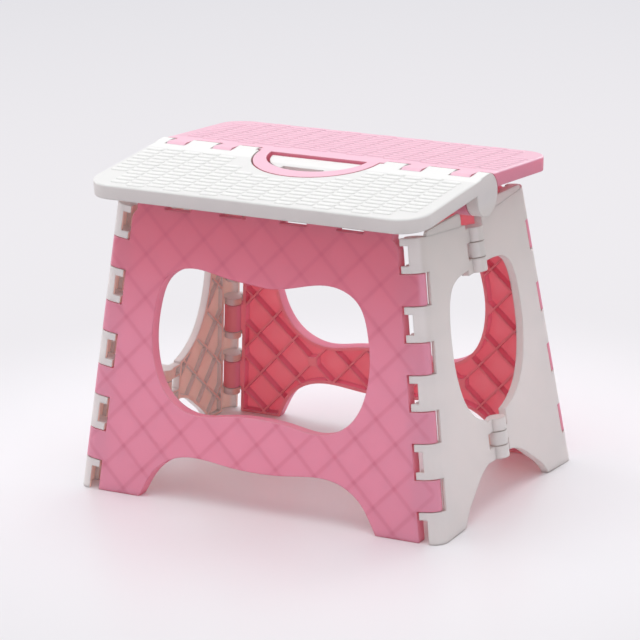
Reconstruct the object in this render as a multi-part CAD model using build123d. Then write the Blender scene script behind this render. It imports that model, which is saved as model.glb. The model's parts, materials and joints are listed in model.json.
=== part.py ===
from build123d import *
from math import atan, cos, radians, sin, sqrt, tan
import os

# Folding stool: two seat halves on two leaning panels, joined by two folding end walls.
# Millimetres. X runs along the seat hinge, Y to the rear, Z up, floor at zero.

# Stance of the panels
foot_half_depth = 101.8
panel_lean = 6.3
panel_depth = 8.5
panel_top_gap = 13.4
panel_foot_half = 126.5
side_taper = 0.12
panel_corner_radius = 10.0

# Walls of the mouldings
skin = 2.2
rim_wall = 2.4
rib = 1.4
lattice_pitch = 21.5
lattice_height = 110.0
pad_size = 7.5
pad_step = 4
smallest_cell = 15.0

# Corner hinges
corner_offset = 7.5
corner_radius = 9.5
corner_core = 6.3
knuckle_height = 21.0
knuckle_first = 32.5
knuckle_last_gap = 34.5
knuckle_count = 4
knuckle_gap = 0.6
nose_reach = 8.0
nose_back = 2.0
prong_length = 6.0
prong_width = 3.4
plate_height = 5.0
dowel_radius = 2.0
dowel_reach = 3.6
running_clearance = 0.05
slot_edge = 0.8
slot_back = 7.2

# End leaves
leaf_depth = 5.5
leaf_bend = 2.0
leaf_top_lift = 1.3
middle_radius = 6.5
middle_gap = 0.7
lower_hinge_foot = 41.5
lower_hinge_height = 28.0
upper_hinge_height = 31.0
upper_hinge_gap = 0.65
lower_setback = 14.5
upper_setback = 12.0
socket_depth = 5.0

# Seat
seat_height = 229.0
seat_tilt = 4.5
seat_half_width = 129.0
seat_depth = 102.0
seat_corner = 20.0
seat_rim = 10.2
seat_plate = 2.6
seat_rib_depth = 8.0
seat_rib_pitch = 40.0
edge_gap = 1.0
edge_round = 1.6
axis_depth = 14.0
finger_radius = 15.0
finger_clearance = 0.5
side_clearance = 0.4
end_finger_width = 9.2
pink_finger_width = 15.6
white_finger_width = 21.9
handle_side_gap = 3.5
centre_pin_radius = 2.0
pin_cover = 1.6

# Top hinges
top_axis_depth = 8.5
top_radius = panel_depth / 2
lug_radius = 4.0
lug_width = 18.5
lug_clearance = 1.2
centre_knuckle_half = 13.0
top_knuckle_width = 22.5
top_knuckle_inset = 3.1
top_pin_radius = 1.6
knuckle_root = 4.0

# Handle
handle_half_width = 46.5
handle_reach = 45.0
handle_bar = 12.0
handle_arm = 8.5
handle_thickness = 6.0
handle_root = 9.0
handle_clearance = 1.2
pocket_floor = 2.2
island_drop = 1.6
island_clearance = 2.4
dip_half_width = 16.0
dip_depth = 8.0

lean = radians(panel_lean)
tilt = radians(seat_tilt)
taper = atan(side_taper)
axis_place = (-axis_depth * tan(tilt), -axis_depth)

# Fingers of the centre hinge on the right-hand side, from the seat's end in to the handle
end_finger = seat_half_width - end_finger_width
outer_pink = end_finger - pink_finger_width
middle_finger = outer_pink - white_finger_width
inner_pink = middle_finger - pink_finger_width
pink_fingers = ((inner_pink, middle_finger), (outer_pink, end_finger))
white_fingers = (
    (handle_half_width + handle_side_gap, inner_pink),
    (middle_finger, outer_pink),
    (end_finger, seat_half_width),
)

panel_plane = Plane(origin=(0, -foot_half_depth, 0), x_dir=(1, 0, 0), z_dir=(0, -cos(lean), sin(lean)))
seat_plane = Plane(origin=(0, 0, seat_height), x_dir=(1, 0, 0), z_dir=(0, -sin(tilt), cos(tilt)))
half_turn = Rot(0, 0, 180)
ground = Pos(0, 0, -50) * Box(500, 500, 100)


def block(x, y, z):
    """Box between pairs of limits."""
    size = (x[1] - x[0], y[1] - y[0], z[1] - z[0])
    return Pos((x[0] + x[1]) / 2, (y[0] + y[1]) / 2, (z[0] + z[1]) / 2) * Box(*size)


def slab(x, y):
    """Flat rectangle between pairs of limits."""
    return Pos((x[0] + x[1]) / 2, (y[0] + y[1]) / 2) * Rectangle(x[1] - x[0], y[1] - y[0])


def mirrored(points):
    """Right-hand points followed by their left-hand partners, ends on the centre line kept once."""
    return list(points) + [(-x, y) for x, y in reversed(points[1:-1])]


def along_x(profile, x0, x1):
    """Profile drawn as (Y, Z), drawn out along X between two limits."""
    plane = Plane(origin=(x0, 0, 0), x_dir=(0, 1, 0), z_dir=(1, 0, 0))
    return plane.location * extrude(profile, x1 - x0)


def lattice(centre, span, pitch):
    """Crossed diagonal ribs around a centre."""
    bars = []
    for i in range(-int(span / pitch), int(span / pitch) + 1):
        for turn in (45, -45):
            bars.append(Pos(*centre) * Rot(0, 0, turn) * Pos(0, i * pitch) * Rectangle(2.2 * span, rib))
    return Sketch() + bars


def pads(centre, span, pitch):
    """Square pads on every few crossings of the ribs, in level rows."""
    step = pad_step * pitch / sqrt(2)
    count = int(span / step)
    squares = []
    for i in range(-count, count + 1):
        for j in range(-count, count + 1):
            squares.append(Pos(centre[0] + i * step, centre[1] + j * step) * Rectangle(pad_size, pad_size))
    return Sketch() + squares


def beside(curve, distance, count, closed):
    """Smooth curve at a distance to the left of another one."""
    points = []
    for i in range(count if closed else count + 1):
        at = curve @ (i / count)
        way = curve % (i / count)
        points.append((at.X - way.Y * distance, at.Y + way.X * distance))
    return Spline(*points, periodic=closed)


def hole_face(points, grow):
    """Closed smooth outline through clockwise points, grown by a distance."""
    curve = Spline(*points, periodic=True)
    if grow:
        curve = beside(curve, grow, 28, True)
    return make_face(curve)


def arch_face(points, grow, floor):
    """Area below an arch drawn from left to right, grown by a distance and closed under the floor."""
    curve = Spline(*points)
    if grow:
        curve = beside(curve, grow, 20, False)
    first = curve @ 0
    last = curve @ 1
    base = Polyline((last.X, last.Y), (last.X, floor), (first.X, floor), (first.X, first.Y))
    return make_face([curve, base])


def ribbed(outline, inside, ribs, depth, face=0.0):
    """Moulding with a flat skin at a height, and cells behind it that leave a wall round the edges and ribs."""
    cells = inside - ribs
    pockets = []
    for cell in cells.faces():
        if cell.area > smallest_cell:
            pockets.append(Pos(0, 0, -skin) * extrude(cell, skin - depth))
    return Pos(0, 0, face) * (extrude(outline, -depth) - pockets)


def panel_edge(v):
    """Half width of the panel at a height on its face."""
    return panel_foot_half - side_taper * v


def knuckle_spans():
    """Lower and upper end of each pink corner knuckle along the corner axis."""
    pitch = (leaf_height - knuckle_first - knuckle_last_gap) / (knuckle_count - 1)
    centres = [knuckle_first + i * pitch for i in range(knuckle_count)]
    return [(c - knuckle_height / 2, c + knuckle_height / 2) for c in centres]


def plate_spans():
    """Lower and upper end of each white corner knuckle, between and beyond the pink ones."""
    ends = [-3.0]
    for low, high in knuckle_spans():
        ends += [low - knuckle_gap, high + knuckle_gap]
    ends.append(leaf_height)
    return list(zip(ends[0::2], ends[1::2]))


corner_axis_foot = panel_foot_half + corner_offset
corner_plane = Plane(
    origin=(corner_axis_foot, 0, -corner_radius),
    x_dir=(cos(taper), sin(taper), 0),
    z_dir=(-sin(taper), cos(taper), 0),
)

# Corner hinge in the world frame
corner_in_world = panel_plane.location * corner_plane.location
corner_world = Plane(corner_in_world)
corner_origin = corner_world.origin
corner_along = corner_world.z_dir
wall_normal = Vector(0, 1, 0).cross(corner_along).normalized()
wall_across = corner_along.cross(wall_normal).normalized()
bend = radians(leaf_bend)
leaf_across = wall_across * cos(bend) - wall_normal * sin(bend)
leaf_out = wall_normal * cos(bend) + wall_across * sin(bend)
leaf_plane = Plane(origin=corner_origin, x_dir=leaf_across, z_dir=leaf_out)

# Heights along the corner axis, measured from the underside of the centre hinge
centre_axis = seat_plane.from_local_coords(Vector(0, *axis_place))
hinge_underside = (centre_axis.Z - finger_radius - corner_origin.Z) / corner_along.Z
leaf_height = hinge_underside + leaf_top_lift
lower_knuckles = (lower_hinge_foot, lower_hinge_foot + lower_hinge_height)
upper_knuckles = (hinge_underside - upper_hinge_gap - upper_hinge_height, hinge_underside - upper_hinge_gap)


def middle(s):
    """Distance across the leaf from its corner axis to the middle hinge axis."""
    depth = corner_origin.Y + corner_along.Y * s + leaf_out.Y * corner_radius
    return -depth / leaf_across.Y


def leaf_floor(p):
    """Height along the leaf where its outer face meets the floor."""
    drop = corner_origin.Z + leaf_across.Z * p + leaf_out.Z * corner_radius
    return -drop / corner_along.Z


# Top hinge axis: the point on the panel's middle layer that lies at the wanted depth under the seat
def top_axis_height():
    """Distance up the panel to its top hinge axis."""
    y0 = -foot_half_depth + top_radius * cos(lean)
    z0 = -top_radius * sin(lean)
    gap = (seat_height - z0) * cos(tilt) + y0 * sin(tilt) - top_axis_depth
    return gap / (cos(lean) * cos(tilt) - sin(lean) * sin(tilt))


top_height = top_axis_height()
panel_height = top_height - panel_top_gap

# Top hinge from the middle outward: knuckle, lug, knuckle, lug, knuckle
lug_room = lug_width + 2 * lug_clearance
second_knuckle = centre_knuckle_half + lug_room
outer_knuckle = second_knuckle + top_knuckle_width + lug_room
lug_centres = (second_knuckle - lug_room / 2, outer_knuckle - lug_room / 2)
top_knuckle_end = panel_foot_half - side_taper * panel_height - top_knuckle_inset
top_knuckles = (
    (-centre_knuckle_half, centre_knuckle_half),
    (second_knuckle, second_knuckle + top_knuckle_width),
    (outer_knuckle, top_knuckle_end),
)
top_axis = panel_plane.from_local_coords(Vector(0, top_height, -top_radius))
top_in_seat = seat_plane.to_local_coords(top_axis)


def panel_face(inset):
    """Outline of the panel with its arch and opening, drawn in from every edge."""
    arch_right = [(0.0, 29.5), (24.0, 30.8), (50.0, 33.2), (64.0, 31.0), (81.7, 19.4), (91.8, 3.2), (96.0, -4.0)]
    arch = [(-x, y) for x, y in reversed(arch_right[1:])] + arch_right
    hole_upper = [(0.0, 45.0), (28.0, 41.8), (57.0, 38.4), (74.5, 47.0), (82.6, 66.0)]
    hole_lower = [(83.4, 98.0), (72.0, 74.0), (50.0, 63.0), (24.0, 65.6), (0.0, 67.2)]
    hole_right = [(x, panel_height - drop) for x, drop in hole_upper] + hole_lower
    low = (panel_edge(inset) - inset, inset)
    high = (panel_edge(panel_height - inset) - inset, panel_height - inset)
    plate = make_face(Polyline((-low[0], low[1]), low, high, (-high[0], high[1]), close=True))
    plate = fillet(plate.vertices().sort_by(Axis.Y)[-2:], panel_corner_radius - inset)
    return plate - arch_face(arch, inset, -20) - hole_face(mirrored(hole_right), inset)


def make_panel():
    """Pink leg panel in its own frame: face at zero, ribs behind it."""
    centre = (0, lattice_height)
    ribs = lattice(centre, panel_foot_half + lattice_height, lattice_pitch)
    ribs += pads(centre, panel_foot_half, lattice_pitch)
    body = ribbed(panel_face(0), panel_face(rim_wall), ribs, panel_depth)
    # Knuckles of the top hinge
    neck = slab((panel_height - knuckle_root, top_height), (-panel_depth, 0))
    neck += Pos(top_height, -top_radius) * Circle(top_radius)
    bore = Pos(top_height, -top_radius) * Circle(top_pin_radius)
    for x0, x1 in top_knuckles:
        for a, b in {(x0, x1), (-x1, -x0)}:
            body += along_x(neck, a, b)
    reach = top_knuckles[-1][1] - pin_cover
    body -= along_x(bore, -reach, reach)
    # Knuckles of the corner hinges
    core = Circle(corner_core)
    nose = Circle(corner_radius) & slab((0, nose_reach), (-corner_radius, -nose_back))
    root = slab((-corner_offset - rim_wall, 0), (-corner_radius, panel_depth - corner_radius))
    profile = core + nose + root - Circle(dowel_radius)
    for low, high in knuckle_spans():
        knuckle = corner_plane.location * Pos(0, 0, low) * extrude(profile, high - low)
        body += knuckle
        body += mirror(knuckle, about=Plane.YZ)
    return panel_plane.location * body - ground


def make_dowel(span):
    """Corner dowel through one pink knuckle of the right-hand corner."""
    low = span[0] - dowel_reach
    return corner_in_world * Pos(0, 0, low) * extrude(Circle(dowel_radius), span[1] + dowel_reach - low)


def corner_sketch_plane(s):
    """Plane across the corner axis at a height: first axis across the leaf, second axis inward."""
    return Plane(origin=(0, s, 0), x_dir=(1, 0, 0), z_dir=(0, 1, 0))


def leaf_face(left, inset):
    """Outline of the leaf from a line beside the corner axis, drawn in from its other edges."""
    arch = [(25.0, -4.0), (28.3, 3.2), (32.6, 10.6), (46.0, 23.8), (60.0, 35.4), (74.0, 40.8), (96.0, 42.0)]
    hole_lower = [(84.0, 70.0), (60.5, 72.0), (45.0, 81.5), (31.8, 103.0)]
    hole_upper = [(26.0, 66.0), (33.0, 39.0), (51.0, 31.8), (84.0, 34.0), (106.0, 84.0)]
    hole = hole_lower + [(x, leaf_height - drop) for x, drop in hole_upper]
    low = (lower_knuckles[0] + lower_knuckles[1]) / 2
    high = (upper_knuckles[0] + upper_knuckles[1]) / 2
    plate = make_face(
        Polyline(
            (left, leaf_floor(left) + inset),
            (middle(0) - lower_setback - inset, leaf_floor(middle(0)) + inset),
            (middle(low) - lower_setback - inset, low),
            (middle(high) - upper_setback - inset, high),
            (middle(leaf_height) - upper_setback - inset, leaf_height - inset),
            (left, leaf_height - inset),
            close=True,
        )
    )
    return plate - arch_face(arch, inset, -20) - hole_face(hole, inset)


def make_leaf(outer_knuckles):
    """White end leaf at the right front, with the outer pair or the inner one of the middle knuckles."""
    slope = (middle(0) - middle(leaf_height)) / leaf_height
    wall = slot_back + rim_wall
    ribs = lattice((middle(0) / 2, lattice_height), leaf_height, lattice_pitch)
    body = ribbed(leaf_face(slot_edge, 0), leaf_face(wall, rim_wall), ribs, leaf_depth, corner_radius)
    # Room for the corner knuckles behind the skin
    body -= block((-1, slot_back), (-20, leaf_height + 1), (-corner_radius, corner_radius - skin))
    # White corner knuckles: two plates joined by a curved skin
    quadrant = slab((-corner_radius, 0), (-corner_radius, 0))
    root = slab((0, slot_back + rim_wall), (-corner_radius, leaf_depth - corner_radius))
    prong = slab((-corner_radius, prong_width - corner_radius), (0, prong_length))
    plate = Circle(corner_core) + (Circle(corner_radius) & quadrant) + root + prong
    shell = (Circle(corner_radius) - Circle(corner_radius - skin)) & quadrant
    shell += slab((0, slot_back), (-corner_radius, skin - corner_radius))
    bore = Circle(dowel_radius + running_clearance)
    for low, high in plate_spans():
        body += corner_sketch_plane(low).location * extrude(shell, high - low)
        tip = high - plate_height
        body += corner_sketch_plane(tip).location * extrude(plate, plate_height)
        if high < leaf_height:
            hole = high - dowel_reach - 0.4
            body -= corner_sketch_plane(hole).location * extrude(bore, plate_height)
        if low > 0:
            body += corner_sketch_plane(low).location * extrude(plate, plate_height)
            body -= corner_sketch_plane(low - 1).location * extrude(bore, dowel_reach + 1.4)
    # Middle hinge knuckles
    turn = atan(slope)
    hinge = Plane(
        origin=(middle(0), 0, corner_radius),
        x_dir=(-cos(turn), -sin(turn), 0),
        z_dir=(-sin(turn), cos(turn), 0),
    )
    stretch = 1 / cos(turn)
    for span, setback in ((lower_knuckles, lower_setback), (upper_knuckles, upper_setback)):
        profile = Circle(middle_radius) + slab((0, setback + rim_wall), (-leaf_depth, 0))
        profile -= slab((middle_radius + rib, setback), (-leaf_depth, -skin))
        web = slab((0, setback + rim_wall), (-leaf_depth, 0))
        low = span[0] * stretch
        third = (span[1] - span[0]) * stretch / 3
        if outer_knuckles:
            pairs = ((low, low + third - middle_gap), (low + 2 * third + middle_gap, low + 3 * third))
            socket = Circle(dowel_radius + running_clearance)
            for a, b in pairs:
                body += hinge.location * Pos(0, 0, a) * extrude(profile, b - a)
                for end in (a, b - rib):
                    body += hinge.location * Pos(0, 0, end) * extrude(web, rib)
            start = pairs[0][1] - socket_depth
            body -= hinge.location * Pos(0, 0, start) * extrude(socket, pairs[1][0] + socket_depth - start)
        else:
            body += hinge.location * Pos(0, 0, low + third) * extrude(profile, third)
            for end in (low + third, low + 2 * third - rib):
                body += hinge.location * Pos(0, 0, end) * extrude(web, rib)
            body -= hinge.location * Pos(0, 0, low) * extrude(Circle(dowel_radius), 3 * third)
    return leaf_plane.location * body - ground


def make_middle_pin(span):
    """Pin in the middle knuckle of the right-hand end, in the rear leaf, built at the front and mirrored."""
    slope = (middle(0) - middle(leaf_height)) / leaf_height
    turn = atan(slope)
    hinge = Plane(
        origin=(middle(0), 0, corner_radius),
        x_dir=(-cos(turn), -sin(turn), 0),
        z_dir=(-sin(turn), cos(turn), 0),
    )
    third = (span[1] - span[0]) / cos(turn) / 3
    low = span[0] / cos(turn) + third
    return leaf_plane.location * hinge.location * Pos(0, 0, low) * extrude(Circle(dowel_radius), third)


def seat_half(own, other, pin_room):
    """Seat half in its own frame: top at zero, free edge at the negative end of Y."""
    plan = slab((-seat_half_width, seat_half_width), (-seat_depth, -edge_gap))
    free = plan.vertices().sort_by(Axis.Y)[:2]
    plan = fillet(free, seat_corner)
    inner = offset(plan, -rim_wall)
    body = extrude(plan, -seat_rim)
    rim = body.edges().filter_by_position(Axis.Z, -0.01, 0.01).sort_by(Axis.Y)[:-1]
    body = fillet(rim, edge_round)
    body -= Pos(0, 0, -seat_plate) * extrude(inner, -seat_rim)
    back = top_in_seat.Y + top_radius + 3.0
    front = -finger_radius - 2.0
    zone = slab((-seat_half_width, seat_half_width), (back, front)) & inner
    ribs = lattice((0, (back + front) / 2), seat_half_width + seat_depth, seat_rib_pitch)
    body += extrude(zone & ribs, -seat_rib_depth)
    body += extrude(zone & slab((-seat_half_width, seat_half_width), (back, back + rib)), -seat_rib_depth)
    body += extrude(zone & slab((-seat_half_width, seat_half_width), (front - rib, front)), -seat_rib_depth)
    # Lugs of the top hinge
    lug = Pos(top_in_seat.Y, top_in_seat.Z) * Circle(lug_radius)
    lug += slab((top_in_seat.Y - lug_radius, top_in_seat.Y + lug_radius), (top_in_seat.Z, -seat_plate / 2))
    lug -= Pos(top_in_seat.Y, top_in_seat.Z) * Circle(top_pin_radius + running_clearance)
    for centre in lug_centres:
        for side in (-1, 1):
            middle_x = side * centre
            body += along_x(lug, middle_x - lug_width / 2, middle_x + lug_width / 2)
    # Fingers of the centre hinge, and room for those of the other half
    below_top = slab((-2 * finger_radius, 2 * finger_radius), (-axis_depth - 2 * finger_radius, 0))
    finger = (Pos(*axis_place) * Circle(finger_radius)) & below_top
    room = Pos(*axis_place) * Circle(finger_radius + finger_clearance)
    room += slab((axis_place[0] - finger_radius / 2, finger_radius), (-axis_depth, 1))
    for x0, x1 in other:
        for a, b in ((x0, x1), (-x1, -x0)):
            body -= along_x(room, a - side_clearance, b + side_clearance)
    for x0, x1 in own:
        ends = (x0 + side_clearance, x1 if x1 == seat_half_width else x1 - side_clearance)
        for a, b in (ends, (-ends[1], -ends[0])):
            body += along_x(finger, a, b)
    inside = white_fingers[0][0] + pin_cover
    outside = seat_half_width - pin_cover
    bore = Pos(*axis_place) * Circle(centre_pin_radius + pin_room)
    for a, b in ((inside, outside), (-outside, -inside)):
        body -= along_x(bore, a, b)
    return body


def handle_plan(half_width, reach, rear):
    """Half ellipse ahead of the hinge line, carried on straight to a line behind it."""
    front = slab((-half_width, half_width), (-reach, 0))
    bow = Ellipse(half_width, reach) & front
    if rear > 0:
        return bow + slab((-half_width, half_width), (0, rear))
    return bow & slab((-half_width, half_width), (-reach, rear))


def make_seat_front():
    """White seat half with the recess for the handle, and an island with a finger dip inside the loop."""
    body = seat_half(white_fingers, pink_fingers, 0.0)
    depth = handle_thickness + handle_clearance
    half_width = handle_half_width + handle_clearance
    reach = handle_reach + handle_clearance
    body += extrude(handle_plan(half_width + rim_wall, reach + rim_wall, -edge_gap), -depth - pocket_floor)
    body -= extrude(handle_plan(half_width, reach, handle_root), -depth)
    loop_half = handle_half_width - handle_arm - island_clearance
    loop_reach = handle_reach - handle_bar - island_clearance
    island = handle_plan(loop_half, loop_reach, -edge_gap - island_clearance)
    island -= slab((-dip_half_width, dip_half_width), (-loop_reach - 1, dip_depth - loop_reach))
    body += Pos(0, 0, -island_drop) * extrude(island, island_drop - depth - pocket_floor / 2)
    return seat_plane.location * body


def make_seat_rear():
    """Pink seat half with the carrying handle, which lies in the recess of the white half."""
    body = half_turn * seat_plane.location * seat_half(pink_fingers, white_fingers, running_clearance)
    ring = handle_plan(handle_half_width, handle_reach, handle_root)
    ring -= handle_plan(handle_half_width - handle_arm, handle_reach - handle_bar, -edge_gap)
    handle = seat_plane.location * extrude(ring, -handle_thickness)
    across = (-seat_half_width, seat_half_width)
    above = half_turn * seat_plane.location * block(across, (-seat_depth, seat_depth), (0, seat_depth))
    return body + (handle - above)


def make_top_pin():
    """Pin of the front top hinge."""
    reach = top_knuckles[-1][1] - pin_cover
    pin = along_x(Circle(top_pin_radius), -reach, reach)
    return Pos(0, top_axis.Y, top_axis.Z) * pin


def make_centre_pin():
    """Pin of the centre hinge, right-hand side."""
    inside = white_fingers[0][0] + pin_cover
    outside = seat_half_width - pin_cover
    return Pos(0, 0, centre_axis.Z) * along_x(Circle(centre_pin_radius), inside, outside)


def build():
    """All pieces by name, in the open position."""
    pieces = {}
    front = make_panel()
    pieces["front_panel"] = front
    pieces["rear_panel"] = half_turn * front
    pieces["seat_front"] = make_seat_front()
    pieces["seat_rear"] = make_seat_rear()
    outer = make_leaf(True)
    inner = mirror(make_leaf(False), about=Plane.XZ)
    pieces["right_front_leaf"] = outer
    pieces["left_rear_leaf"] = half_turn * outer
    pieces["right_rear_leaf"] = inner
    pieces["left_front_leaf"] = half_turn * inner
    for i, span in enumerate(knuckle_spans(), 1):
        dowel = make_dowel(span)
        behind = mirror(dowel, about=Plane.XZ)
        pieces[f"dowel_right_front_{i}"] = dowel
        pieces[f"dowel_left_rear_{i}"] = half_turn * dowel
        pieces[f"dowel_right_rear_{i}"] = behind
        pieces[f"dowel_left_front_{i}"] = half_turn * behind
    for place, span in (("lower", lower_knuckles), ("upper", upper_knuckles)):
        pin = mirror(make_middle_pin(span), about=Plane.XZ)
        pieces[f"middle_pin_right_{place}"] = pin
        pieces[f"middle_pin_left_{place}"] = half_turn * pin
    pieces["top_pin_front"] = make_top_pin()
    pieces["top_pin_rear"] = half_turn * make_top_pin()
    pieces["centre_pin_right"] = make_centre_pin()
    pieces["centre_pin_left"] = half_turn * make_centre_pin()
    return pieces


os.makedirs("parts", exist_ok=True)
for name, piece in build().items():
    export_step(piece, f"parts/{name}.step")
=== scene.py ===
"""Folding stool: finishes, seat tread, leaf shoulders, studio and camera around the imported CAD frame."""

import json
import logging
import math
from dataclasses import dataclass, field
from enum import Enum
from typing import Any, Dict, List, Optional, Sequence, Tuple, Union

import bpy
from mathutils import Matrix, Vector

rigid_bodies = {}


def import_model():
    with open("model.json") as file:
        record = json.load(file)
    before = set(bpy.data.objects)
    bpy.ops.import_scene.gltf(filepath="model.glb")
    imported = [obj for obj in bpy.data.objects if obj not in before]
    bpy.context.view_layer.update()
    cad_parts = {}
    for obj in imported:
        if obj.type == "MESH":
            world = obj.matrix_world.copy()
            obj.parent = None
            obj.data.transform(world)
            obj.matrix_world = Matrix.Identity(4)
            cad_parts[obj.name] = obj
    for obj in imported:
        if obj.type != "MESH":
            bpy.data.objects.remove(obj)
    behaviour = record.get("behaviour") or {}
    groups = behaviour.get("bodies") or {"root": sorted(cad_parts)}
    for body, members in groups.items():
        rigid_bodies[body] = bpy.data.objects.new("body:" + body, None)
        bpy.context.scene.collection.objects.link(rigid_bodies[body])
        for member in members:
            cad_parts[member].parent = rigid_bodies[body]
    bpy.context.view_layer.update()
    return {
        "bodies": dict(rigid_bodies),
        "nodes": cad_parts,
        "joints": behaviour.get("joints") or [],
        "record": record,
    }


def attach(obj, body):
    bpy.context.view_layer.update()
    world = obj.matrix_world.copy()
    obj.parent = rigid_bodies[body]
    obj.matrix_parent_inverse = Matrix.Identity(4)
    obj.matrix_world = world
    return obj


logging.basicConfig(level=logging.INFO, format="%(levelname)s %(message)s")
LOG = logging.getLogger("stool")

Colour = Tuple[float, float, float]
Point = Tuple[float, float, float]
Band = Tuple[float, float]
Inputs = Dict[Union[str, int], Any]
SEAT_HEIGHT = 0.229  # top of the crown, at the centre hinge
SEAT_TILT_DEG = 4.5  # fall of each seat half from the hinge to its free edge


class Half(Enum):
    """The two seat halves, by the CAD body that each one rides on."""

    FRONT = "seat_front"
    REAR = "seat_rear"


class Plastic(Enum):
    """Finishes of the stool, by the record's material slot."""

    WHITE = "white"
    PINK = "pink"
    PIN = "pin"


class Wall(Enum):
    """Which way a piece's inner faces look, in the object's own frame."""

    ENDWAYS = "x"
    CROSSWAYS = "y"


class Sock:
    """A shader socket that can be used in Python expressions."""

    def __init__(self, graph: "Graph", socket: bpy.types.NodeSocket) -> None:
        """Wraps a socket.

        Args:
            graph: the node graph that the socket belongs to.
            socket: an output socket of a node in that graph.
        """
        self.graph = graph
        self.socket = socket

    def __add__(self, other: "Operand") -> "Sock":
        """Returns this value plus another."""
        return self.graph.math("ADD", self, other)

    def __radd__(self, other: "Operand") -> "Sock":
        """Returns another value plus this one."""
        return self.graph.math("ADD", other, self)

    def __sub__(self, other: "Operand") -> "Sock":
        """Returns this value less another."""
        return self.graph.math("SUBTRACT", self, other)

    def __rsub__(self, other: "Operand") -> "Sock":
        """Returns another value less this one."""
        return self.graph.math("SUBTRACT", other, self)

    def __mul__(self, other: "Operand") -> "Sock":
        """Returns this value times another."""
        return self.graph.math("MULTIPLY", self, other)

    def __rmul__(self, other: "Operand") -> "Sock":
        """Returns another value times this one."""
        return self.graph.math("MULTIPLY", other, self)

    def __truediv__(self, other: "Operand") -> "Sock":
        """Returns this value over another."""
        return self.graph.math("DIVIDE", self, other)

    def __rtruediv__(self, other: "Operand") -> "Sock":
        """Returns another value over this one."""
        return self.graph.math("DIVIDE", other, self)

    def __neg__(self) -> "Sock":
        """Returns this value with its sign turned."""
        return self.graph.math("MULTIPLY", self, -1.0)

    def __abs__(self) -> "Sock":
        """Returns the size of this value."""
        return self.graph.math("ABSOLUTE", self)

    def sign(self) -> "Sock":
        """Returns minus one, zero or one."""
        return self.graph.math("SIGN", self)

    def fraction(self) -> "Sock":
        """Returns what is left after whole steps are taken off."""
        return self.graph.math("FRACT", self)

    def step(self, low: float, high: float) -> "Sock":
        """Returns a smooth ramp from zero to one between two values.

        Args:
            low: where the ramp is zero.
            high: where the ramp is one.

        Returns:
            The ramp.
        """
        node = self.graph.node(
            "ShaderNodeMapRange",
            {"interpolation_type": "SMOOTHSTEP"},
            {"Value": self, "From Min": low, "From Max": high},
        )
        return Sock(self.graph, node.outputs["Result"])


Operand = Union[Sock, float]


class Graph:
    """The node tree of a material or a world, with one method that makes any node."""

    def __init__(self, owner: Union[bpy.types.Material, bpy.types.World]) -> None:
        """Starts an empty tree.

        Args:
            owner: the material or world that the tree belongs to.
        """
        self.owner = owner
        owner.use_nodes = True
        self.tree = owner.node_tree
        self.tree.nodes.clear()

    def node(self, kind: str, settings: Dict[str, Any], inputs: Inputs) -> bpy.types.Node:
        """Makes a node: its type, then its settings, then its inputs.

        Args:
            kind: Blender's node type.
            settings: properties of the node, set first.
            inputs: values or sockets by input name or number.

        Returns:
            The node.
        """
        made = self.tree.nodes.new(kind)
        for key, value in settings.items():
            setattr(made, key, value)
        for key, value in inputs.items():
            target = made.inputs[key]
            if isinstance(value, Sock):
                self.tree.links.new(value.socket, target)
            else:
                target.default_value = value
        return made

    def out(self, kind: str, output: str, settings: Dict[str, Any], inputs: Inputs) -> Sock:
        """Makes a node and returns one of its outputs.

        Args:
            kind: Blender's node type.
            output: the output's name.
            settings: properties of the node.
            inputs: values or sockets by input name or number.

        Returns:
            The output as a value.
        """
        return Sock(self, self.node(kind, settings, inputs).outputs[output])

    def math(self, operation: str, *values: Operand) -> Sock:
        """Adds a Math node.

        Args:
            operation: Blender's name of the operation.
            values: its operands in order.

        Returns:
            The result.
        """
        return self.out("ShaderNodeMath", "Value", {"operation": operation}, dict(enumerate(values)))

    def split(self, vector: Sock) -> Tuple[Sock, Sock, Sock]:
        """Splits a vector into its parts.

        Args:
            vector: the vector.

        Returns:
            Its X, Y and Z.
        """
        made = self.node("ShaderNodeSeparateXYZ", {}, {"Vector": vector})
        x, y, z = (Sock(self, made.outputs[name]) for name in "XYZ")
        return x, y, z

    def scaled(self, colour: Sock, factor: Sock) -> Sock:
        """Makes a colour paler or darker by a factor."""
        inputs = {0: colour, "Scale": factor}
        return self.out("ShaderNodeVectorMath", "Vector", {"operation": "SCALE"}, inputs)

    def blend(self, mask: Operand, low: Union[Sock, Colour], high: Union[Sock, Colour]) -> Sock:
        """Mixes two colours.

        Args:
            mask: zero for the first colour, one for the second.
            low: the first colour.
            high: the second colour.

        Returns:
            The mixed colour.
        """
        settings = {"data_type": "RGBA", "clamp_factor": True}
        made = self.node("ShaderNodeMix", settings, {"Factor": mask})
        for name, value in (("A", low), ("B", high)):
            target = next(s for s in made.inputs if s.name == name and s.type == "RGBA")
            if isinstance(value, Sock):
                self.tree.links.new(value.socket, target)
            else:
                target.default_value = (*value, 1.0)
        return Sock(self, next(s for s in made.outputs if s.type == "RGBA"))


@dataclass(frozen=True)
class Masks:
    """Where a point of the stool lies; each mask runs from zero to one."""

    above: Sock
    seat: Sock
    inward: Sock
    outer: Sock
    # painted shade on the upper outer walls, under the seat's overhang
    under_seat_shade: Sock


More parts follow.
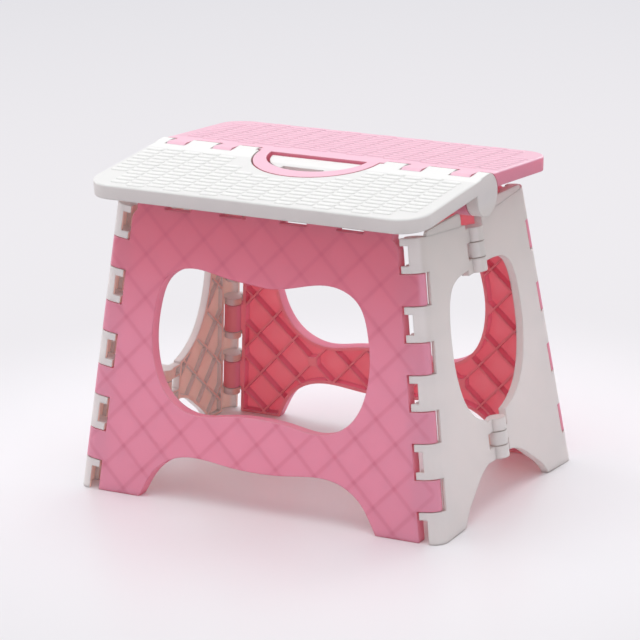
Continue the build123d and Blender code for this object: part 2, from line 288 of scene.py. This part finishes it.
@dataclass(frozen=True)
class PlasticFinish:
    """Moulded plastic: painted light and shade by where a face lies, fine grain, soft edges and some light
    let through.

    A band is the pair of values between which a mask rises from zero to one.
    """

    name: str
    base: Colour
    # inner: painted bounce light and light through the walls, on the faces that look into the stool
    inner: Colour
    # top: a painted sheen, the seat's upward faces paler where the overhead light glances off them
    top: Colour
    through: Colour
    # edge: a painted highlight on the rounded edges that look up
    edge: Colour
    # painted shade: colour of the upper outer walls under the seat's overhang
    under_seat_shade: Colour
    wall: Wall
    half: Half
    translucency: float = 0.3
    top_solidity: float = 0.85
    roughness: float = 0.38
    roughness_spread: float = 0.08
    specular: float = 0.5
    ior: float = 1.48
    cloud: float = 0.05
    cloud_scale: float = 38.0
    cloud_detail: float = 3.0
    grain_scale: float = 900.0
    grain_detail: float = 2.0
    grain_height: float = 0.00002
    grain_strength: float = 0.5
    edge_radius: float = 0.0018
    # strength of the painted edge highlight, the band of the rounded edge and the band of upward edges that
    # get it
    edge_highlight_share: float = 0.45
    edge_band: Band = (0.01, 0.2)
    edge_highlight_up_band: Band = (-0.1, 0.6)
    seat_band: Band = (0.204, 0.212)
    above_band: Band = (0.15, 0.6)
    inward_band: Band = (0.35, 0.8)
    outer_band: Band = (0.7, 0.9)
    # heights over which the painted shade under the seat comes in
    under_seat_shade_band: Band = (0.09, 0.20)
    bar_band: Band = (0.0001, 0.0005)
    tread_band: Band = (0.016, 0.019)
    rays: int = 6
    ground_shade: float = 0.09
    rim_shade: float = 0.14
    crevice_shade: float = 0.45
    crevice_reach: float = 0.0035
    # painted shade of the inner ribs: darker lines where they keep light from passing through the wall
    rib_shade_tint: Optional[Colour] = None
    lattice_pitch: float = 0.0215
    lattice_width: float = 0.0017
    lattice_centre: float = 0.110
    lattice_stretch: float = 1.006
    rib_shade_share: float = 0.24
    lattice_softness: Band = (0.3, 1.3)

    def build(self) -> bpy.types.Material:
        """Makes the material.

        Returns:
            The finished material.
        """
        graph = Graph(bpy.data.materials.new(self.name))
        place = graph.out("ShaderNodeTexCoord", "Object", {}, {})
        facing = graph.out("ShaderNodeTexCoord", "Normal", {}, {})
        masks = self._masks(graph, place, facing)
        radius = {"Radius": self.edge_radius}
        round_edge = graph.out("ShaderNodeBevel", "Normal", {"samples": self.rays}, radius)
        cloud = {"Vector": place, "Scale": self.cloud_scale, "Detail": self.cloud_detail}
        patches = graph.out("ShaderNodeTexNoise", "Fac", {}, cloud)
        colour = self._paint_edge_highlight(graph, self._colour(graph, place, masks), round_edge)
        shade = (1.0 - self.cloud * patches) * self._shade(graph, place, masks)
        inputs = {
            "Base Color": graph.scaled(colour, shade),
            "Roughness": self.roughness + self.roughness_spread * (patches - 0.5),
            "Normal": self._grained(graph, place, round_edge),
            "Specular IOR Level": self.specular,
            "IOR": self.ior,
        }
        solid = graph.out("ShaderNodeBsdfPrincipled", "BSDF", {}, inputs)
        glow = graph.out("ShaderNodeBsdfTranslucent", "BSDF", {}, {"Color": (*self.through, 1.0)})
        share = self.translucency * (1.0 - self.top_solidity * masks.above)
        shader = graph.out("ShaderNodeMixShader", "Shader", {}, {"Fac": share, 1: solid, 2: glow})
        graph.node("ShaderNodeOutputMaterial", {}, {"Surface": shader})
        return graph.owner

    def _grained(self, graph: Graph, place: Sock, bent: Sock) -> Sock:
        """Adds the mould's fine grain to a normal.

        Args:
            graph: the material's graph.
            place: position in the object's own frame.
            bent: normal with the edges rounded.

        Returns:
            The normal with the grain.
        """
        noise = {"Vector": place, "Scale": self.grain_scale, "Detail": self.grain_detail}
        grain = graph.out("ShaderNodeTexNoise", "Fac", {}, noise)
        inputs = {
            "Height": grain,
            "Distance": self.grain_height,
            "Strength": self.grain_strength,
            "Normal": bent,
        }
        return graph.out("ShaderNodeBump", "Normal", {}, inputs)

    def _masks(self, graph: Graph, place: Sock, facing: Sock) -> Masks:
        """Makes the masks that tell the stool's places apart.

        Args:
            graph: the material's graph.
            place: position in the object's own frame.
            facing: normal in the object's own frame.

        Returns:
            The masks.
        """
        x, y, z = graph.split(place)
        nx, ny, nz = graph.split(facing)
        seat = z.step(*self.seat_band)
        outward = nx * x.sign() if self.wall is Wall.ENDWAYS else ny * y.sign()
        outer = outward.step(*self.outer_band) * (1.0 - seat)
        return Masks(
            above=nz.step(*self.above_band) * seat,
            seat=seat,
            inward=(-outward).step(*self.inward_band) * (1.0 - seat),
            outer=outer,
            # painted shade on the upper outer walls under the seat
            under_seat_shade=outer * z.step(*self.under_seat_shade_band),
        )

    def _shade(self, graph: Graph, place: Sock, masks: Masks) -> Sock:
        """Shade of the rim, of the ground between the tread's bars and of crevices.

        Args:
            graph: the material's graph.
            place: position in the object's own frame.
            masks: the stool's places.

        Returns:
            A factor for the colour, one where there is no shade.
        """
        _, y, z = graph.split(place)
        across = y if self.half is Half.REAR else -y
        lift = z - SEAT_HEIGHT + abs(y) * math.tan(math.radians(SEAT_TILT_DEG))
        ground = (1.0 - lift.step(*self.bar_band)) * masks.above * across.step(*self.tread_band)
        outside = 1.0 - graph.out("ShaderNodeNewGeometry", "Backfacing", {}, {})
        reach = {"Distance": self.crevice_reach}
        near = graph.out("ShaderNodeAmbientOcclusion", "AO", {"samples": self.rays}, reach)
        crevice = (1.0 - near) * outside * (1.0 - masks.inward)
        rim = masks.seat * (1.0 - masks.above)
        shade = (1.0 - self.ground_shade * ground) * (1.0 - self.rim_shade * rim)
        return shade * (1.0 - self.crevice_shade * crevice)

    def _paint_edge_highlight(self, graph: Graph, colour: Sock, bent: Sock) -> Sock:
        """Paints a highlight on the rounded edges that look up, where the overhead light would catch them.

        Args:
            graph: the material's graph.
            colour: the colour so far.
            bent: normal with the edges rounded.

        Returns:
            The colour with painted highlights on the upward edges.
        """
        flat = graph.out("ShaderNodeNewGeometry", "Normal", {}, {})
        turn = graph.out("ShaderNodeVectorMath", "Value", {"operation": "DOT_PRODUCT"}, {0: bent, 1: flat})
        rounded = (1.0 - turn).step(*self.edge_band)
        lit = graph.split(bent)[2].step(*self.edge_highlight_up_band)
        # painted highlight on the rounded edges that look up
        return graph.blend(rounded * lit * self.edge_highlight_share, colour, self.edge)

    def _colour(self, graph: Graph, place: Sock, masks: Masks) -> Sock:
        """Base colour with painted bounce light on the inner faces, a painted sheen on the seat's top,
        painted shade under the seat and faint lattice lines of painted rib shade.

        Args:
            graph: the material's graph.
            place: position in the object's own frame.
            masks: the stool's places.

        Returns:
            The colour.
        """
        # painted bounce light on the faces that look into the stool
        colour = graph.blend(masks.inward, self.base, self.inner)
        # painted shade under the seat's overhang on the upper outer walls
        colour = graph.blend(masks.under_seat_shade, colour, self.under_seat_shade)
        # painted sheen on the seat's upward faces
        colour = graph.blend(masks.above, colour, self.top)
        if self.rib_shade_tint is None:
            return colour
        # painted rib shade: darker lattice lines where the ribs inside keep light from passing through the
        # wall
        x, _, z = graph.split(place)
        rise = z * self.lattice_stretch - self.lattice_centre
        lines = self._line(x + rise) + self._line(x - rise)
        return graph.blend(lines * masks.outer * self.rib_shade_share, colour, self.rib_shade_tint)

    def _line(self, across: Sock) -> Sock:
        """Soft lines at the lattice pitch.

        Args:
            across: distance over the diagonal, times the root of two.

        Returns:
            One on a line and zero between lines.
        """
        steps = across / (self.lattice_pitch * math.sqrt(2.0)) + 0.5
        off = abs(steps.fraction() - 0.5) * self.lattice_pitch
        low, high = self.lattice_softness
        return 1.0 - off.step(low * self.lattice_width, high * self.lattice_width)


@dataclass(frozen=True)
class Finishes:
    """The stool's finishes by record slot."""

    # In each finish, the inner colour is painted bounce light, the top colour a painted sheen, the edge
    # colour a painted highlight and the colour for the upper outer walls painted shade under the seat.
    white: PlasticFinish = PlasticFinish(
        "white_plastic",
        base=(0.885, 0.88, 0.875),
        inner=(0.97, 0.62, 0.51),
        top=(0.90, 0.90, 0.88),
        through=(0.96, 0.87, 0.83),
        edge=(0.93, 0.925, 0.92),
        under_seat_shade=(0.75, 0.745, 0.72),
        wall=Wall.ENDWAYS,
        half=Half.FRONT,
        translucency=0.32,
    )
    pink: PlasticFinish = PlasticFinish(
        "pink_plastic",
        base=(0.985, 0.51, 0.695),
        inner=(0.97, 0.48, 0.50),
        top=(0.93, 0.57, 0.69),
        through=(0.97, 0.39, 0.46),
        edge=(1.0, 0.76, 0.85),
        under_seat_shade=(0.86, 0.30, 0.41),
        wall=Wall.CROSSWAYS,
        half=Half.REAR,
        translucency=0.48,
        edge_highlight_share=0.75,
        rim_shade=0.22,
        # painted shade of the inner ribs seen through the wall
        rib_shade_tint=(0.58, 0.15, 0.27),
    )
    pin: PlasticFinish = PlasticFinish(
        "pin_plastic",
        base=(0.72, 0.70, 0.68),
        inner=(0.66, 0.52, 0.47),
        top=(0.72, 0.70, 0.68),
        through=(0.70, 0.62, 0.58),
        edge=(0.78, 0.76, 0.74),
        under_seat_shade=(0.66, 0.64, 0.62),
        wall=Wall.ENDWAYS,
        half=Half.FRONT,
    )

    def build(self) -> Dict[Plastic, bpy.types.Material]:
        """Makes every material.

        Returns:
            The materials by finish.
        """
        return {
            Plastic.WHITE: self.white.build(),
            Plastic.PINK: self.pink.build(),
            Plastic.PIN: self.pin.build(),
        }


@dataclass
class SeatTread:
    """Columns of short raised bars on one seat half, every other column half a row further on."""

    half: Half
    pitch: float = 0.0145
    row_pitch: float = 0.0067
    offset: float = -0.0027
    columns: int = 17
    length: float = 0.0141
    width: float = 0.0046
    rise: float = 0.0008
    first_row: float = 0.0962
    last_row: float = 0.0185
    side: float = 0.1255
    corner: float = 0.022
    ring_points: int = 12
    handle_room: Tuple[float, float] = (0.061, 0.052)
    profile: Sequence[Tuple[float, float]] = ((-0.06, 1.0), (0.55, 0.84), (0.9, 0.6), (1.0, 0.34))

    def plane(self) -> Matrix:
        """Frame of the half: X along the hinge, Y toward the hinge, Z out of the seat.

        Returns:
            The frame as a matrix.
        """
        tilt = Matrix.Rotation(math.radians(SEAT_TILT_DEG), 4, "X")
        frame = Matrix.Translation((0.0, 0.0, SEAT_HEIGHT)) @ tilt
        if self.half is Half.REAR:
            frame = Matrix.Rotation(math.pi, 4, "Z") @ frame
        return frame

    def allowed(self, x: float, y: float) -> bool:
        """Tells whether a bar may stand at a place on the half.

        Args:
            x: place along the hinge.
            y: place across, negative toward the free edge.

        Returns:
            True where the tread runs.
        """
        over_x = abs(x) + self.length / 2 - (self.side - self.corner)
        over_y = -y - (self.first_row - self.corner)
        if over_x > 0 and over_y > 0 and math.hypot(over_x, over_y) > self.corner:
            return False
        if self.half is Half.FRONT:
            wide, deep = self.handle_room
            return math.hypot(x / wide, y / deep) > 1.0
        return True

    def bar(self, x: float, y: float, points: List[Point], faces: List[Tuple[int, ...]]) -> None:
        """Adds one bar with a rounded top and round ends.

        Args:
            x: centre along the hinge.
            y: centre across.
            points: vertices so far, added to.
            faces: faces so far, added to.
        """
        base = len(points)
        count = self.ring_points
        for share, inset in self.profile:
            for i in range(count):
                angle = 2 * math.pi * (i + 0.5) / count
                end = math.copysign(self.length / 2 - self.width / 2, math.cos(angle))
                px = x + end + math.cos(angle) * self.width / 2 * inset
                points.append((px, y + math.sin(angle) * self.width / 2 * inset, share * self.rise))
        for ring in range(len(self.profile) - 1):
            first = base + ring * count
            for i in range(count):
                j = (i + 1) % count
                faces.append((first + i, first + j, first + count + j, first + count + i))
        last = base + (len(self.profile) - 1) * count
        faces.append(tuple(range(last, last + count)))

    def build(self, material: bpy.types.Material) -> bpy.types.Object:
        """Makes the tread and lets it ride on its half.

        Args:
            material: the half's plastic.

        Returns:
            The tread.
        """
        points: List[Point] = []
        faces: List[Tuple[int, ...]] = []
        for column in range(self.columns):
            x = self.offset + (column - (self.columns - 1) / 2) * self.pitch
            y = -self.first_row + (0.5 * self.row_pitch if column % 2 else 0.0)
            while y < -self.last_row:
                if self.allowed(x, y):
                    self.bar(x, y, points, faces)
                y += self.row_pitch
        mesh = bpy.data.meshes.new(f"tread_{self.half.value}")
        mesh.from_pydata(points, [], faces)
        mesh.transform(self.plane())
        mesh.materials.append(material)
        made = bpy.data.objects.new(f"tread_{self.half.value}", mesh)
        bpy.context.scene.collection.objects.link(made)
        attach(made, self.half.value)
        LOG.info("tread on %s has %d faces", self.half.value, len(faces))
        return made


@dataclass
class LeafShoulder:
    """Raised top of one end leaf, which closes the space under the seat's edge."""

    leaf: str
    rise: float = 0.0030
    wall: float = 0.0022
    start: float = 0.0015
    stop: float = 0.0535
    sink: float = 0.0006
    corner: float = 0.0030
    segments: int = 5
    hinge_reach: float = 0.020
    flat_within: float = 0.0002

    def outer_face(self, node: bpy.types.Object) -> Tuple[Vector, List[Vector]]:
        """Finds the leaf's largest flat face that looks out at the stool's end.

        Args:
            node: the leaf's CAD node.

        Returns:
            The face's normal and the points on it.
        """
        mesh = node.data
        areas: Dict[Tuple[float, ...], float] = {}
        for face in mesh.polygons:
            if face.normal.x * face.center.x > 0.0:
                key = (*(round(v, 3) for v in face.normal), round(face.normal.dot(face.center), 4))
                areas[key] = areas.get(key, 0.0) + face.area
        *widest, depth = max(areas, key=lambda key: areas[key])
        normal = Vector(widest).normalized()
        near = (p.co.copy() for p in mesh.vertices if abs(normal.dot(p.co) - depth) < self.flat_within)
        return normal, list(near)

    def outline(self, along: Vector, up: Vector, foot: Vector) -> List[Vector]:
        """Draws the shoulder on the leaf's outer face, with its top level and its upper corners round.

        Args:
            along: way from the corner to the middle, along the leaf's top edge.
            up: way up the leaf's face.
            foot: the top edge's end at the corner.

        Returns:
            The outline's points.
        """
        level = foot.z + self.rise
        points = [foot + along * self.start - up * self.sink, foot + along * self.stop - up * self.sink]
        quarter = 0.5 * math.pi
        for place, first in ((self.stop - self.corner, 0.0), (self.start + self.corner, quarter)):
            centre = foot + along * place
            centre += up * ((level - centre.z) / up.z - self.corner)
            for i in range(self.segments + 1):
                angle = first + quarter * i / self.segments
                points.append(centre + self.corner * (along * math.cos(angle) + up * math.sin(angle)))
        return points

    def build(self, node: bpy.types.Object, material: bpy.types.Material) -> bpy.types.Object:
        """Makes the shoulder and lets it ride on its leaf.

        Args:
            node: the leaf's CAD node.
            material: the leaf's plastic.

        Returns:
            The shoulder.
        """
        normal, points = self.outer_face(node)
        foot = max(points, key=lambda point: point.z)
        middle = max((p for p in points if abs(p.y) < self.hinge_reach), key=lambda point: point.z)
        along = (middle - foot).normalized()
        up = normal.cross(along)
        up = up if up.z > 0 else -up
        outer = self.outline(along, up, foot)
        count = len(outer)
        faces = [tuple(range(count)), tuple(reversed(range(count, 2 * count)))]
        faces += [(i, i + count, (i + 1) % count + count, (i + 1) % count) for i in range(count)]
        if along.cross(up).dot(normal) < 0:
            faces = [tuple(reversed(face)) for face in faces]
        mesh = bpy.data.meshes.new(f"shoulder_{self.leaf}")
        mesh.from_pydata(outer + [point - normal * self.wall for point in outer], [], faces)
        mesh.materials.append(material)
        made = bpy.data.objects.new(f"shoulder_{self.leaf}", mesh)
        bpy.context.scene.collection.objects.link(made)
        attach(made, self.leaf)
        LOG.info("shoulder on %s is %.1f mm long", self.leaf, 1000.0 * (self.stop - self.start))
        return made


@dataclass
class Stool:
    """The dressed stool: plastics on the CAD nodes, the seat's tread and the leaves' shoulders."""

    finishes: Finishes = field(default_factory=Finishes)

    def dress(self, frame: Dict[str, Any]) -> None:
        """Puts the finishes on the CAD nodes and adds the tread and the shoulders.
        """
        materials = self.finishes.build()
        slots = {s["node"]: Plastic(s["material_slot"]) for s in frame["record"]["subparts"]}
        for name, node in frame["nodes"].items():
            node.data.materials.clear()
            node.data.materials.append(materials[slots[name]])
            LOG.info("%s has the %s plastic", name, slots[name].value)
        SeatTread(Half.FRONT).build(materials[Plastic.WHITE])
        SeatTread(Half.REAR).build(materials[Plastic.PINK])
        for name, node in frame["nodes"].items():
            if name.endswith("_leaf"):
                LeafShoulder(name).build(node, materials[Plastic.WHITE])


@dataclass
class Camera:
    """The photograph's camera."""

    target: Point = (0.03896, -0.07336, 0.13620)
    distance: float = 2.3482
    azimuth_deg: float = 29.778
    elevation_deg: float = 16.552
    roll_deg: float = -1.465
    lens: float = 196.45
    sensor: float = 36.0
    clip: Band = (0.05, 60.0)

    def build(self) -> bpy.types.Object:
        """Makes the camera and puts it in use.

        Returns:
            The camera.
        """
        az, el, roll = (math.radians(v) for v in (self.azimuth_deg, self.elevation_deg, self.roll_deg))
        back = Vector((math.sin(az) * math.cos(el), -math.cos(az) * math.cos(el), math.sin(el)))
        right = Vector((math.cos(az), math.sin(az), 0.0))
        up = back.cross(right)
        turned_right = right * math.cos(roll) + up * math.sin(roll)
        turned_up = up * math.cos(roll) - right * math.sin(roll)
        turn = Matrix((turned_right, turned_up, back)).transposed().to_4x4()
        data = bpy.data.cameras.new("camera")
        data.lens = self.lens
        data.sensor_width = self.sensor
        data.clip_start, data.clip_end = self.clip
        made = bpy.data.objects.new("camera", data)
        made.matrix_world = Matrix.Translation(Vector(self.target) + back * self.distance) @ turn
        bpy.context.scene.collection.objects.link(made)
        bpy.context.scene.camera = made
        return made


@dataclass(frozen=True)
class Lamp:
    """A soft rectangular light."""

    name: str
    place: Point
    aim: Point
    width: float
    height: float
    power: float
    colour: Colour = (1.0, 1.0, 1.0)

    def build(self) -> bpy.types.Object:
        """Makes the light.

        Returns:
            The light.
        """
        data = bpy.data.lights.new(self.name, "AREA")
        data.shape = "RECTANGLE"
        data.size = self.width
        data.size_y = self.height
        data.energy = self.power
        data.color = self.colour
        made = bpy.data.objects.new(self.name, data)
        made.location = self.place
        away = Vector(self.place) - Vector(self.aim)
        made.rotation_euler = away.to_track_quat("Z", "Y").to_euler()
        bpy.context.scene.collection.objects.link(made)
        return made


@dataclass
class Studio:
    """Pale floor, pale backdrop and soft lights."""

    lamps: Sequence[Lamp] = (
        Lamp("overhead", (-0.2, 0.1, 2.1), (0.0, 0.0, 0.15), 2.4, 2.4, 23.0),
        Lamp("front_left", (-1.9, -1.9, 1.0), (0.0, 0.0, 0.08), 1.8, 1.6, 9.5),
        Lamp("front_right", (2.2, -0.7, 0.8), (0.0, 0.0, 0.08), 1.5, 1.5, 6.5),
        Lamp("left", (-2.3, 0.3, 0.8), (0.0, 0.0, 0.10), 1.5, 1.4, 15.0),
        Lamp("rear", (0.3, 2.4, 1.1), (0.0, 0.0, 0.10), 1.8, 1.6, 19.0),
    )
    floor_size: float = 30.0
    floor_drop: float = 0.0003
    floor_colour: Colour = (0.84, 0.822, 0.845)
    floor_roughness: float = 0.30
    floor_specular: float = 0.35
    cloud_scale: float = 1.5
    cloud_detail: float = 2.0
    cloud_lift: float = 1.02
    cloud_roughness: float = 0.06
    sky: Colour = (0.97, 0.97, 1.0)
    zenith_strength: float = 0.70
    horizon_strength: float = 0.44
    sky_band: Band = (0.0, 0.9)
    backdrop: Colour = (0.745, 0.74, 0.775)
    pale_floor: Colour = (0.85, 0.83, 0.86)
    fade_band: Band = (0.17, 0.44)
    fade_share: float = 0.95
    far_band: Band = (0.6, 2.4)

    def seen(self, graph: Graph) -> Sock:
        """Tells the rays that show the backdrop from those that carry light.

        Args:
            graph: the graph that asks.

        Returns:
            One for what the camera sees, straight or mirrored, and zero for light.
        """
        path = graph.node("ShaderNodeLightPath", {}, {})
        names = ("Is Camera Ray", "Is Glossy Ray", "Is Transmission Ray")
        camera, glossy, through = (Sock(graph, path.outputs[name]) for name in names)
        return graph.math("MAXIMUM", camera, graph.math("MAXIMUM", glossy, through))

    def floor(self) -> bpy.types.Object:
        """Makes the floor, which fades into the backdrop away from the stool, for what the camera sees.

        Returns:
            The floor.
        """
        graph = Graph(bpy.data.materials.new("floor"))
        place = graph.out("ShaderNodeTexCoord", "Object", {}, {})
        noise = {"Vector": place, "Scale": self.cloud_scale, "Detail": self.cloud_detail}
        cloud = graph.out("ShaderNodeTexNoise", "Fac", {}, noise)
        paler = tuple(min(1.0, c * self.cloud_lift) for c in self.floor_colour)
        inputs = {
            "Base Color": graph.blend(cloud, self.floor_colour, paler),
            "Roughness": self.floor_roughness + self.cloud_roughness * cloud,
            "Specular IOR Level": self.floor_specular,
        }
        solid = graph.out("ShaderNodeBsdfPrincipled", "BSDF", {}, inputs)
        far = graph.out("ShaderNodeVectorMath", "Value", {"operation": "LENGTH"}, {0: place})
        near_glow, far_glow = (
            graph.out("ShaderNodeEmission", "Emission", {}, {"Color": (*colour, 1.0)})
            for colour in (self.pale_floor, self.backdrop)
        )
        glows = {"Fac": far.step(*self.far_band), 1: near_glow, 2: far_glow}
        pale = graph.out("ShaderNodeMixShader", "Shader", {}, glows)
        share = far.step(*self.fade_band) * self.seen(graph) * self.fade_share
        shader = graph.out("ShaderNodeMixShader", "Shader", {}, {"Fac": share, 1: solid, 2: pale})
        graph.node("ShaderNodeOutputMaterial", {}, {"Surface": shader})
        half = self.floor_size / 2
        mesh = bpy.data.meshes.new("floor")
        corners = [(-half, -half, 0.0), (half, -half, 0.0), (half, half, 0.0), (-half, half, 0.0)]
        mesh.from_pydata(corners, [], [(0, 1, 2, 3)])
        mesh.materials.append(graph.owner)
        made = bpy.data.objects.new("floor", mesh)
        made.location = (0.0, 0.0, -self.floor_drop)
        bpy.context.scene.collection.objects.link(made)
        return made

    def world(self) -> None:
        """Sets a pale backdrop for the camera and a soft sky for everything else."""
        world = bpy.data.worlds.new("studio")
        bpy.context.scene.world = world
        graph = Graph(world)
        way = graph.out("ShaderNodeTexCoord", "Generated", {}, {})
        lift = graph.split(way)[2].step(*self.sky_band)
        low, high, pale = (
            graph.out("ShaderNodeBackground", "Background", {}, {"Color": (*colour, 1.0), "Strength": power})
            for colour, power in (
                (self.sky, self.horizon_strength),
                (self.sky, self.zenith_strength),
                (self.backdrop, 1.0),
            )
        )
        sky = graph.out("ShaderNodeMixShader", "Shader", {}, {"Fac": lift, 1: low, 2: high})
        shader = graph.out("ShaderNodeMixShader", "Shader", {}, {"Fac": self.seen(graph), 1: sky, 2: pale})
        graph.node("ShaderNodeOutputWorld", {}, {"Surface": shader})

    def build(self) -> None:
        """Makes the whole studio."""
        self.floor()
        self.world()
        for lamp in self.lamps:
            lamp.build()
        bpy.context.scene.view_settings.view_transform = "Standard"


def main() -> None:
    """Builds the whole scene."""
    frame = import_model()
    Stool().dress(frame)
    Studio().build()
    Camera().build()


if __name__ == "__main__":
    main()
